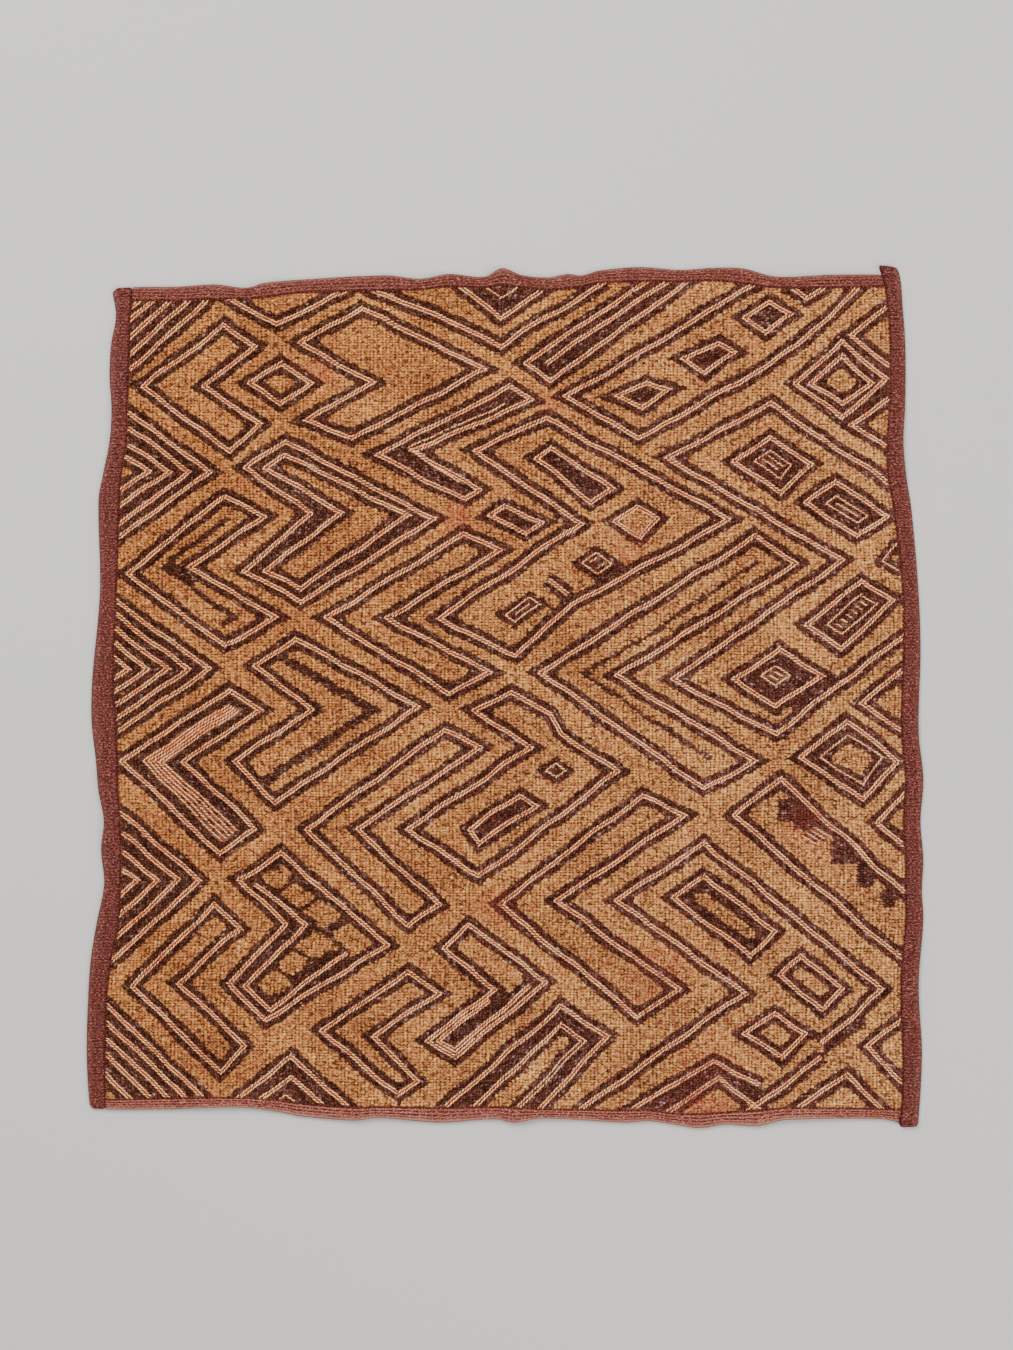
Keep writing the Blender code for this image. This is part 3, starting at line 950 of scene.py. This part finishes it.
close_up(dark & by_twin, from_twin, twin_away, in_rows(from_twin, TWIN_CLEAR + DARK_ROW / 2))
close_up(dark & by_pale, from_pale, pale_away, in_rows(from_pale, PALE_CLEAR + DARK_ROW / 2))
edging = tan & (from_twin > TWIN_DARK) & (from_twin < TWIN_DARK + TUFT_ACROSS * 0.6)
edging &= from_pale > PALE_DARK + 1
close_up(edging, from_twin, twin_away, np.full(len(tuft_x), TWIN_DARK + TUFT_ACROSS * 0.45))

four_sided = small_shape(
    "cone", vertices=4, radius1=math.sqrt(0.5), radius2=0.0, depth=1.0, rotation=(0, 0, math.pi / 4)
)


def tuft_axes(ways, along, across, heights):
    """Axes of tufts that lean a little, each way at random, and spread into their neighbours."""
    number = len(ways)
    length = along * draw.uniform(0.85, 1.15, number)
    width = across * draw.uniform(0.85, 1.15, number)
    turned = ways + draw.normal(0, 0.12, ways.shape)
    axes = np.zeros((number, 3, 3))
    axes[:, :2, 0] = turned * length[:, None]
    axes[:, 0, 1] = -turned[:, 1] * width
    axes[:, 1, 1] = turned[:, 0] * width
    axes[:, 0, 2] = draw.normal(0, 0.25, number)
    axes[:, 1, 2] = draw.normal(-0.1, 0.22, number)
    axes[:, 2, 2] = heights
    return axes


Pile = namedtuple("Pile", "along across stray tone spread material")


def make_pile(name, chosen, sort):
    """One piece of the chosen tufts, all of one sort."""
    x = tuft_x[chosen] + draw.normal(0, sort.stray, chosen.sum())
    y = tuft_y[chosen] + draw.normal(0, sort.stray, chosen.sum())
    root = ground_face(x, y) - 0.1
    heights = pile_face(x, y) - root + draw.normal(0.0, 0.12, len(x))
    spots = np.column_stack([x, y, root + heights / 2])
    axes = tuft_axes(tuft_way[chosen], sort.along, sort.across, heights)
    tints = fibre_tints(spots, sort.tone, sort.spread)
    pile = repeat_shape(name, four_sided, spots, axes, tints, sort.material)
    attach(pile, "root")


tan_raffia = fibre_material(
    "tan_raffia",
    # The darkest stop is painted shade, reached where the painted dots press the tone down.
    [(0.0, (0.08, 0.024, 0.014)), (0.5, (0.415, 0.180, 0.062)), (1.0, (0.78, 0.47, 0.17))],
    warm=(1.0, 0.88, 0.74),
    red=(0.36, 0.08, 0.04),
    # root: the painted shade at each tuft's foot, down between the tufts
    root=(0.70, 0.48, 0.37),
    roughest=0.90,
    grain=0.6,
    painted_pit_shade=0.55,
)
dark_raffia = fibre_material(
    "dark_raffia",
    [
        (0.0, (0.032, 0.007, 0.004)),
        (0.45, (0.098, 0.027, 0.017)),
        (0.75, (0.17, 0.066, 0.052)),
        # Painted highlight: the palest stop gives greyish-mauve glints of sheen on some tufts.
        (1.0, (0.35, 0.19, 0.175)),
    ],
    warm=(0.85, 0.92, 0.76),
    red=(0.16, 0.026, 0.018),
    # root: the painted shade at each tuft's foot, down between the tufts
    root=(0.6, 0.55, 0.5),
    roughest=0.75,
    grain=0.7,
)
tan_sort = Pile(1.6 * TUFT_ACROSS, 1.7 * TUFT_UP, 0.36, 0.56, 0.12, tan_raffia)
dark_sort = Pile(1.5 * TUFT_ACROSS, 1.35 * DARK_ROW, 0.27, 0.44, 0.21, dark_raffia)
upper = tuft_y > 0
for half, within in (("upper", upper), ("lower", ~upper)):
    make_pile("tan_pile_" + half, tan & within, tan_sort)
    make_pile("dark_pile_" + half, dark & within, dark_sort)

# The binding: four strips of plain-woven raffia dyed brick red, each folded over a raw edge of the cloth.
# The left and right strips run the full height, and their ends are turned in; a stitched seam holds each.
FOLD_THICK = 2 * LEAF_THICK + 2 * CLEARANCE + GROUND_THICK
ROLLED_END = 9.0
END_ROUND = 4.0
END_HEIGHT = 0.52
END_WIDTH = 0.72
SIDE_SPAN = 615.0
LEAF_WIDTH = 12.0
STRIP_CLOTH = 0.9
RIB_PITCH = 2.4
RIB_HEIGHT = 0.22
SIDE_STEPS = (1020, 14)
END_STEPS = (300, 30)

Strip = namedtuple("Strip", "side start stop start_fullness stop_fullness")
Section = namedtuple("Section", "share height")
STRIPS = [
    Strip("left", -1.0, 2.0, 1.1, 1.45),
    Strip("right", -1.4, 2.8, 1.35, 1.5),
    Strip("bottom", 0.0, 1.0, 1.0, 1.0),
    Strip("top", 0.0, 1.0, 1.0, 1.0),
]
# From the lower leaf's inner edge, round the fold, to the upper leaf's: shares of its width and height
FOLD_SECTION = [
    Section(1.0, 0.0),
    Section(0.12, 0.0),
    Section(0.0, 0.3),
    Section(0.0, 0.7),
    Section(0.12, 1.0),
    Section(0.55, 1.04),
    Section(1.0, 1.0),
]


def side_share(strip, step):
    """Even steps in millimetres for a strip that runs past both seams; step is a share of its length."""
    ends = [float(place(0.5, share)[1]) for share in (strip.start, strip.stop)]
    seams = [float(place(0.5, share)[1]) for share in (0.0, 1.0)]
    y = ends[0] + (ends[1] - ends[0]) * step
    below = strip.start * (seams[0] - y) / (seams[0] - ends[0])
    above = 1 + (strip.stop - 1) * (y - seams[1]) / (ends[1] - seams[1])
    within = (y - seams[0]) / (seams[1] - seams[0])
    return np.where(y < seams[0], below, np.where(y > seams[1], above, within))


def fullness(strip, y):
    """A side strip's turned-in ends are thicker than its length."""
    if strip.side in ("top", "bottom"):
        return 1.0
    from_start = (y - EDGES["bottom"][0](0.0)) / ROLLED_END
    from_stop = (EDGES["top"][0](0.0) - y) / ROLLED_END
    start_swell = (strip.start_fullness - 1) * (1 - ease(from_start))
    stop_swell = (strip.stop_fullness - 1) * (1 - ease(from_stop))
    return 1 + start_swell + stop_swell


def section_at(turn):
    """Share and height of the folded section, at a share of the way round it."""
    marks = np.cumsum([0] + [
        math.hypot((b.share - a.share) * LEAF_WIDTH, (b.height - a.height) * FOLD_THICK)
        for a, b in zip(FOLD_SECTION[:-1], FOLD_SECTION[1:])
    ])
    marks = marks / marks[-1]
    share = np.interp(turn, marks, [section.share for section in FOLD_SECTION])
    height = np.interp(turn, marks, [section.height for section in FOLD_SECTION])
    return share, height


def strip_position(strip, steps, turns):
    """The function that lays a grid as one strip: columns run along it, rows round its fold."""
    def position(column, row):
        share, height = section_at(row / turns)
        rounded = np.ones(len(column))
        if strip.side in ("left", "right"):
            from_end = np.minimum(column, steps - column) / steps * SIDE_SPAN
            rounded = np.sqrt(1 - (1 - np.clip(from_end / END_ROUND, 0, 1)) ** 2)
        share = 0.5 + (share - 0.5) * (END_WIDTH + (1 - END_WIDTH) * rounded)
        low_side = strip.side in ("left", "bottom")
        out = share - 1 if low_side else 2 - share
        if strip.side in ("top", "bottom"):
            gap = CLEARANCE / SEAM_SPAN
            x, y = place(gap + (1 - 2 * gap) * column / steps, out)
            rib = np.cos(row / turns * 2 * math.pi * 2 * LEAF_WIDTH / RIB_PITCH)
        else:
            x, y = place(out, side_share(strip, column / steps))
            rib = np.cos((y + 0.9 * np.sin(y / 13) + 0.4 * np.sin(x / 2)) * 2 * math.pi / RIB_PITCH)
        full = END_HEIGHT + (fullness(strip, y) - END_HEIGHT) * rounded
        top = np.where(height > 0.9, 1.0, 0.0)
        return x, y, lift(x, y) + FOLD_THICK * height * full + top * (rib - 1) * RIB_HEIGHT / 2
    return position


def binding_material(name, ribs, rib_scale, rib_share, dashes, body, fleck, pale_fold_to):
    """Red raffia cloth with ribs across its length or along it, pale flecks, a paler band round its outer
    fold, and painted shade at its inner edge.
    """
    material, shader = new_material(name, 0.15)
    tree = material.node_tree
    places = add_node(tree, "ShaderNodeTexCoord").outputs
    ribbed = add_node(
        tree,
        "ShaderNodeTexWave",
        {"Vector": places["UV"], "Scale": rib_scale, "Distortion": 0.5, "Detail": 2.0, "Detail Scale": 9.0},
        bands_direction=ribs,
    ).outputs["Fac"]
    crossings = maths(tree, "MULTIPLY", weave_mask(tree, dashes, 290.0), 1 - rib_share)
    woven = maths(tree, "MULTIPLY_ADD", ribbed, rib_share, crossings)
    blotch = add_node(
        tree, "ShaderNodeTexNoise", {"Vector": places["Object"], "Scale": 45.0, "Detail": 6.0}
    ).outputs["Fac"]
    streaked = add_node(tree, "ShaderNodeMapping", {"Vector": places["Object"], "Scale": (0.6, 1.2, 1.0)})
    speck = add_node(
        tree, "ShaderNodeTexNoise", {"Vector": streaked.outputs[0], "Scale": 1100.0, "Detail": 2.0}
    ).outputs["Fac"]
    dull, mid, light = body
    base = colour_ramp(tree, woven, [(0.0, dull), (0.4, mid), (1.0, light)])
    blotches = colour_ramp(tree, blotch, [(0.35, BLACK), (0.7, (0.7, 0.7, 0.7))])
    faded = mix_colours(tree, blotches, base, tuple(value * 1.5 for value in mid))
    specks = colour_ramp(tree, speck, [(0.52, BLACK), (0.68, (0.85, 0.85, 0.85))])
    flecked = mix_colours(tree, specks, faded, fleck)
    round_fold = add_node(tree, "ShaderNodeSeparateXYZ", {"Vector": places["UV"]}).outputs["Y"]
    # A paler band runs round the middle of the fold, by so much in each strip, its edges made uneven by the
    # blotches.
    uneven = maths(tree, "MULTIPLY_ADD", maths(tree, "SUBTRACT", blotch, 0.5), 0.2, round_fold)
    pale_fold_grey = (pale_fold_to, pale_fold_to, pale_fold_to)
    pale_fold_mask = colour_ramp(tree, uneven, [(0.40, BLACK), (0.46, pale_fold_grey), (0.59, pale_fold_grey), (0.70, BLACK)])
    fold_paled = mix_colours(tree, pale_fold_mask, flecked, (0.42, 0.20, 0.15))
    # Painted shade: the upper leaf darkens at its inner edge, where it stands over the pile.
    inner_edge_painted_shade = colour_ramp(tree, round_fold, [(0.93, WHITE), (1.0, (0.45, 0.25, 0.22))])
    tree.links.new(mix_colours(tree, 1.0, fold_paled, inner_edge_painted_shade, "MULTIPLY"), shader.inputs["Base Color"])
    give_surface(tree, shader, woven, roughest=0.78, smoothing=0.15, relief=0.8, depth=0.0005)
    return material


DULL_RED = (0.016, 0.002, 0.0015)
BRICK_RED = (0.052, 0.0068, 0.005)
side_binding = binding_material(
    "side_binding",
    ribs="X",
    rib_scale=80.0,
    rib_share=0.55,
    dashes=235.0,
    body=(DULL_RED, BRICK_RED, (0.15, 0.028, 0.019)),
    fleck=(0.38, 0.12, 0.09),
    pale_fold_to=0.1,
)
top_binding = binding_material(
    "top_binding",
    ribs="Y",
    rib_scale=2.9,
    rib_share=0.7,
    dashes=135.0,
    body=(DULL_RED, BRICK_RED, (0.26, 0.060, 0.036)),
    fleck=(0.42, 0.15, 0.10),
    pale_fold_to=0.15,
)
bottom_binding = binding_material(
    "bottom_binding",
    ribs="Y",
    rib_scale=2.9,
    rib_share=0.75,
    dashes=135.0,
    body=(DULL_RED, (0.072, 0.0105, 0.007), (0.46, 0.135, 0.09)),
    fleck=(0.54, 0.22, 0.15),
    pale_fold_to=0.45,
)
coverings = {"left": side_binding, "right": side_binding, "top": top_binding, "bottom": bottom_binding}

for strip in STRIPS:
    upright = strip.side in ("left", "right")
    steps, turns = SIDE_STEPS if upright else END_STEPS
    piece = shaped_grid("folded_" + strip.side, steps, turns, strip_position(strip, steps, turns))
    if strip.side in ("left", "top"):
        piece.data.flip_normals()
    apply_modifier(piece, "SOLIDIFY", thickness=STRIP_CLOTH * MM, offset=-1.0)
    piece.data.shade_smooth()
    piece.data.materials.append(coverings[strip.side])
    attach(piece, "root")
    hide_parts("binding_" + strip.side)

# The seam: small overcast stitches in dark red thread that fasten the binding's inner edge to the pile.
SEAM_PITCH = 3.1
SEAM_INSET = 0.35
SEAM_STITCH = Stitch(0.45, 2.4, 0.95, 0.9, -0.35)

spots, ways = [], []
shares = (np.arange(round(SEAM_SPAN / SEAM_PITCH)) + 0.5) * SEAM_PITCH / SEAM_SPAN
shares = shares[shares < 1]
for across, up, way in [
    (0.0, shares, (1, 0)),
    (1.0, shares, (-1, 0)),
    (shares, 0.0, (0, 1)),
    (shares, 1.0, (0, -1)),
]:
    x, y = place(across, up)
    spots.append(np.column_stack([x + way[0] * SEAM_INSET, y + way[1] * SEAM_INSET]))
    ways.append(np.tile(np.array(way, float), (len(shares), 1)))
spots, ways = np.vstack(spots), np.vstack(ways)
height = lift(spots[:, 0], spots[:, 1]) + FOLD_THICK + SEAM_STITCH.lift
axes = stitch_axes(ways, SEAM_STITCH)
tints = fibre_tints(spots, 0.3, 0.2)
seam_rows = repeat_shape(
    "seam_stitches", sixteen_sided, np.column_stack([spots, height]), axes, tints, red_thread
)
seam_rows.data.shade_smooth()
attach(seam_rows, "root")
